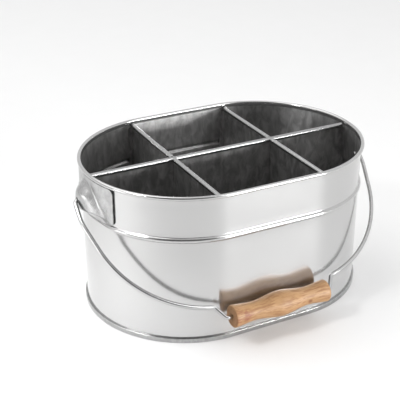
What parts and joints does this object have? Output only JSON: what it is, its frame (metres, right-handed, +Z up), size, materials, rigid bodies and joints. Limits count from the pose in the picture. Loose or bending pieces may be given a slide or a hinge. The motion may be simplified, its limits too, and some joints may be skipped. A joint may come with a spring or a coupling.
{
  "type": "oval cutlery caddy with bail handle",
  "caption": "Oval sheet-steel table caddy with crossed dividers, a rolled rim, and a wire bail with a turned wooden grip that hangs at the front.",
  "frame": {"origin": "middle of the oval foot seam, on the plane that the caddy stands on", "axes": "+X along the long side, -Y towards the front, where the bail hangs at rest, +Z up"},
  "size_m": [0.3326, 0.24, 0.159],
  "materials": {
    "steel": "bright rolled sheet steel, faintly brushed",
    "divider_steel": "bright rolled sheet steel",
    "rivet_steel": "satin",
    "wire_steel": "bright drawn wire",
    "wood": "clear-lacquered turned hardwood"
  },
  "bodies": {
    "tub": {"body_wall": "steel", "base_panel": "steel", "long_divider": "divider_steel", "cross_divider_left": "divider_steel", "cross_divider_right": "divider_steel", "ear_left": "steel", "ear_right": "steel", "rivet_left_front": "rivet_steel", "rivet_left_back": "rivet_steel", "rivet_right_front": "rivet_steel", "rivet_right_back": "rivet_steel"},
    "bail": {"bail_wire": "wire_steel"},
    "grip": {"wood_grip": "wood"}
  },
  "joints": [
    {"name": "bail_swing", "type": "hinge", "parent": "tub", "child": "bail", "pos_m": [0, 0, 0.13], "axis": [-1, 0, 0], "range_deg": [0, 258]},
    {"name": "grip_spin", "type": "hinge", "parent": "bail", "child": "grip", "pos_m": [0, -0.1194, 0.03331], "axis": [1, 0, 0], "continuous": true}
  ]
}
